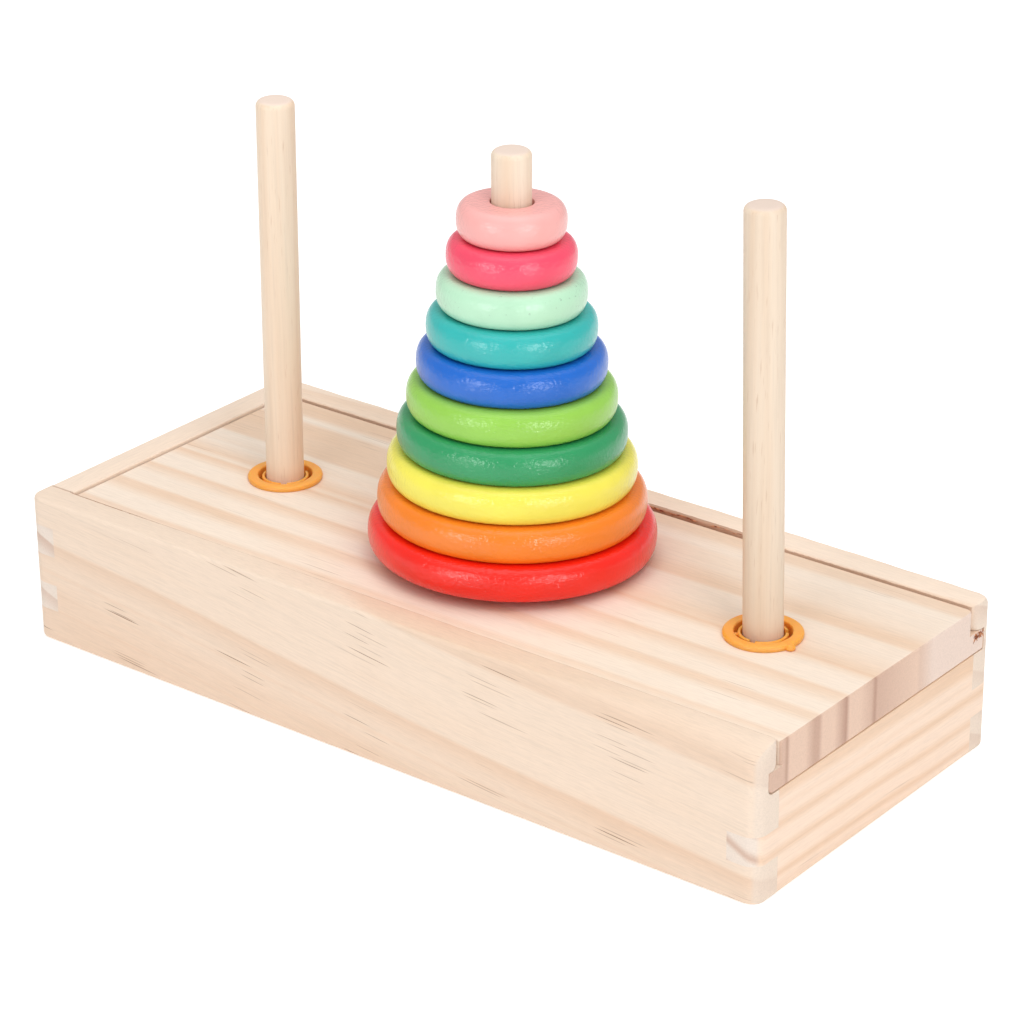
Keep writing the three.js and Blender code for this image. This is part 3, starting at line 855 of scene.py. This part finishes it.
def peg(name, node, axis, base):
    """A turned dowel along its CAD node's axis, with rounded ends."""
    direction = Vector(axis).normalized()
    reach = [(Vector(v.co) / MM - base).dot(direction) for v in frame["nodes"][node].data.vertices]
    low, high = min(reach), max(reach)
    outline = [(0, low)]
    outline += arc(PEG_RADIUS - PEG_FOOT_EASE, low + PEG_FOOT_EASE, PEG_FOOT_EASE, PEG_FOOT_EASE, -90, 0, 3)
    outline += [(PEG_RADIUS, low + (high - low) * i / 12) for i in range(1, 12)]
    outline += arc(PEG_RADIUS - PEG_TOP_EASE, high - PEG_TOP_EASE, PEG_TOP_EASE, PEG_TOP_EASE, 0, 80, 7)
    outline += [(PEG_RADIUS * 0.5, high - 0.02), (0, high)]
    dowel = lathe(name, outline, 72)
    turn = Vector((0, 0, 1)).rotation_difference(direction).to_matrix().to_4x4()
    dowel.data.transform(Matrix.Translation(base * MM) @ turn)
    return finish_mesh(dowel, 50)


joints = {joint["child"]: joint for joint in frame["joints"]}
for number, (side, shade) in enumerate((("left", 0.96), ("middle", 0.92), ("right", 0.87))):
    cup_low, cup_high = box_mm(f"socket_{side}")
    base = Vector(((cup_low.x + cup_high.x) / 2, 0.0, LID_HIGH.z))
    dowel = peg(f"peg_{side}_dowel", f"peg_{side}", joints[f"peg_{side}"]["axis"], base)
    dress(dowel, dowel_wood(f"dowel_{side}", 1.0 + number, shade), f"peg_{side}", "dowel_wood", f"peg_{side}")


def paint(name, colour, seed, specks=0.0):
    """Gloss paint brushed on turned wood: a slight orange peel, pits over the pores, and thin spots."""
    s = Shader(name)
    x, y, z = s.split(s.place())
    spot = s.join(s.math("ADD", x, seed * 17.0), y, z)
    cloud = s.noise(spot, 0.08, 2.0)
    deep = tuple(c * 0.93 for c in colour)
    tint = s.mix(s.fit(cloud, 0.35, 0.65), deep, colour)
    streak = s.join(s.math("MULTIPLY", x, 0.35), s.math("MULTIPLY", y, 1.3), s.math("ADD", z, seed))
    pores = s.noise(streak, 1.0, 3.0, 0.6)
    pit = s.fit(pores, 0.7, 0.8)
    if specks:
        chip = s.fit(s.noise(spot, 1.1, 2.0, 0.6), 0.68, 0.76, 0.0, specks)
        tint = s.mix(chip, tint, tuple(c * 0.35 for c in colour))
    tint = s.mix(s.math("MULTIPLY", pit, 0.25), tint, tuple(c * 0.6 for c in colour))
    peel = s.noise(spot, 1.0, 2.0, 0.55)
    relief = s.math("MULTIPLY_ADD", pit, -0.7, peel)
    return s.surface(Base_Color=tint, Roughness=s.fit(peel, 0.3, 0.7, 0.36, 0.46),
                     Normal=s.bump(relief, 0.15, 0.00007), Specular_IOR_Level=0.12,
                     Coat_Weight=0.75, Coat_Roughness=0.17, Coat_Normal=s.bump(relief, 1.0, 0.0003))


def disc(name, node):
    """A turned ring with a rounded rim, lying as its CAD node lies."""
    mesh = frame["nodes"][node].data
    tops = (face.normal * face.area for face in mesh.polygons if face.normal.z > 0.99)
    normal = sum(tops, Vector()).normalized()
    heights = [Vector(v.co).dot(normal) / MM for v in mesh.vertices]
    low, high = box_mm(node)
    centre = (low + high) / 2
    radius = (high.x - low.x) / 2
    half = (max(heights) - min(heights) + FIT_GAP - DISC_GAP) / 2
    outline = []
    for i in range(NOSE_STEPS + 1):
        t = math.radians(-90 + 180 * i / NOSE_STEPS)
        out, up = abs(math.cos(t)) ** (2 / NOSE_POWER), abs(math.sin(t)) ** (2 / NOSE_POWER)
        outline.append((radius - NOSE_REACH + NOSE_REACH * out, half * math.copysign(up, math.sin(t))))
    outline += [(BORE + 2 * BORE_EASE, half)]
    outline += arc(BORE + BORE_EASE, half - BORE_EASE, BORE_EASE, BORE_EASE, 90, 180, 4)
    outline += arc(BORE + BORE_EASE, BORE_EASE - half, BORE_EASE, BORE_EASE, 180, 270, 4)
    ring = lathe(name, outline, 144, closed_on_axis=False)
    turn = Vector((0, 0, 1)).rotation_difference(normal).to_matrix().to_4x4()
    ring.data.transform(Matrix.Translation(centre * MM) @ turn)
    return finish_mesh(ring, 45)


DISC_PAINTS = {
    "red": srgb(247, 34, 18),
    "orange": srgb(247, 132, 31),
    "yellow": srgb(247, 235, 90),
    "green": srgb(47, 155, 98),
    "lime": srgb(152, 209, 82),
    "blue": srgb(27, 106, 206),
    "teal": srgb(50, 185, 182),
    "mint": srgb(188, 233, 200),
    "pink": srgb(247, 78, 107),
    "light_pink": srgb(247, 178, 173),
}
CHIPPED = {"mint": 0.5}
for number, (colour_name, colour) in enumerate(DISC_PAINTS.items()):
    node = f"disc_{colour_name}"
    gloss = paint(f"paint_{colour_name}", colour, 1.0 + number, CHIPPED.get(colour_name, 0.0))
    dress(disc(f"{node}_turned", node), gloss, node, f"paint_{colour_name}", node)


# ---------------------------------------------------------------- the bottom panel stays the CAD one


panel = frame["nodes"]["bottom_panel"]
panel_ply = wood("panel_ply", "X", PANEL_TONES, PANEL_END_TONES, spacing=14.0, slope=0.02, wave=9.0,
                 ring_strength=0.6, seed=6.0, across_first=True)
panel.data.materials.clear()
panel.data.materials.append(panel_ply)


# ---------------------------------------------------------------- floor, light and camera


FLOOR_REACH = 5000.0
TARGET = Vector((0, 0, 0.06))


def direction_to(azimuth, elevation):
    """From the object towards a place round it: 0 degrees is the front, and 90 the right end."""
    a, e = math.radians(azimuth), math.radians(elevation)
    return Vector((math.sin(a) * math.cos(e), -math.cos(a) * math.cos(e), math.sin(e)))


def floor():
    r = FLOOR_REACH
    plane = mesh_object("floor", [(-r, -r, 0), (r, -r, 0), (r, r, 0), (-r, r, 0)], [(0, 1, 2, 3)])
    s = Shader("floor_white")
    diffuse = s.node("ShaderNodeBsdfDiffuse", [(0.85, 0.85, 0.85, 1)])
    glow = s.node("ShaderNodeEmission", [(1, 1, 1, 1), 0.35])
    s.tree.links.new(s.node("ShaderNodeAddShader", [diffuse, glow]), s.out.inputs[0])
    plane.data.materials.append(s.material)


def softbox(name, azimuth, elevation, distance, size, power, diffuse=True, glossy=True):
    """A soft rectangular light that faces the object."""
    back = direction_to(azimuth, elevation)
    light = bpy.data.lights.new(name, "AREA")
    light.shape = "RECTANGLE"
    light.size, light.size_y = size
    light.energy = power
    obj = bpy.data.objects.new(name, light)
    obj.location = TARGET + back * distance
    obj.rotation_mode = "QUATERNION"
    obj.rotation_quaternion = back.to_track_quat("Z", "Y")
    obj.visible_camera = False
    obj.visible_diffuse = diffuse
    obj.visible_glossy = glossy
    scene.collection.objects.link(obj)


def camera():
    """The photo's angle, with its slight roll."""
    back = direction_to(38.488, 24.764)
    roll = math.radians(-0.619)
    side = Vector((0, 0, 1)).cross(back).normalized()
    up = back.cross(side)
    right = math.cos(roll) * side + math.sin(roll) * up
    top = -math.sin(roll) * side + math.cos(roll) * up
    data = bpy.data.cameras.new("camera")
    data.sensor_width = 36.0
    data.lens = 123.41
    data.clip_start, data.clip_end = 0.05, 50.0
    obj = bpy.data.objects.new("camera", data)
    matrix = Matrix((right, top, back)).transposed().to_4x4()
    matrix.translation = Vector((0.00564, 0.0, 0.051326)) + back * 0.887622
    obj.matrix_world = matrix
    scene.collection.objects.link(obj)
    scene.camera = obj


floor()
world = bpy.data.worlds.new("studio")
world.use_nodes = True
background = world.node_tree.nodes["Background"]
background.inputs[0].default_value = (1, 1, 1, 1)
background.inputs[1].default_value = 0.42
scene.world = world
scene.view_settings.view_transform = "Standard"
softbox("window_right", 64.5, 44, 1.6, (0.6, 1.3), 8.9, glossy=False)
softbox("window_left", 3.5, 44, 1.6, (0.6, 1.3), 4.6, glossy=False)
softbox("overhead", 200, 88, 1.7, (2.0, 2.0), 17)
softbox("glint_right", 70, 11, 1.6, (0.55, 0.8), 10, diffuse=False)
softbox("glint_left", -2, 11, 1.6, (0.55, 0.8), 10, diffuse=False)
camera()
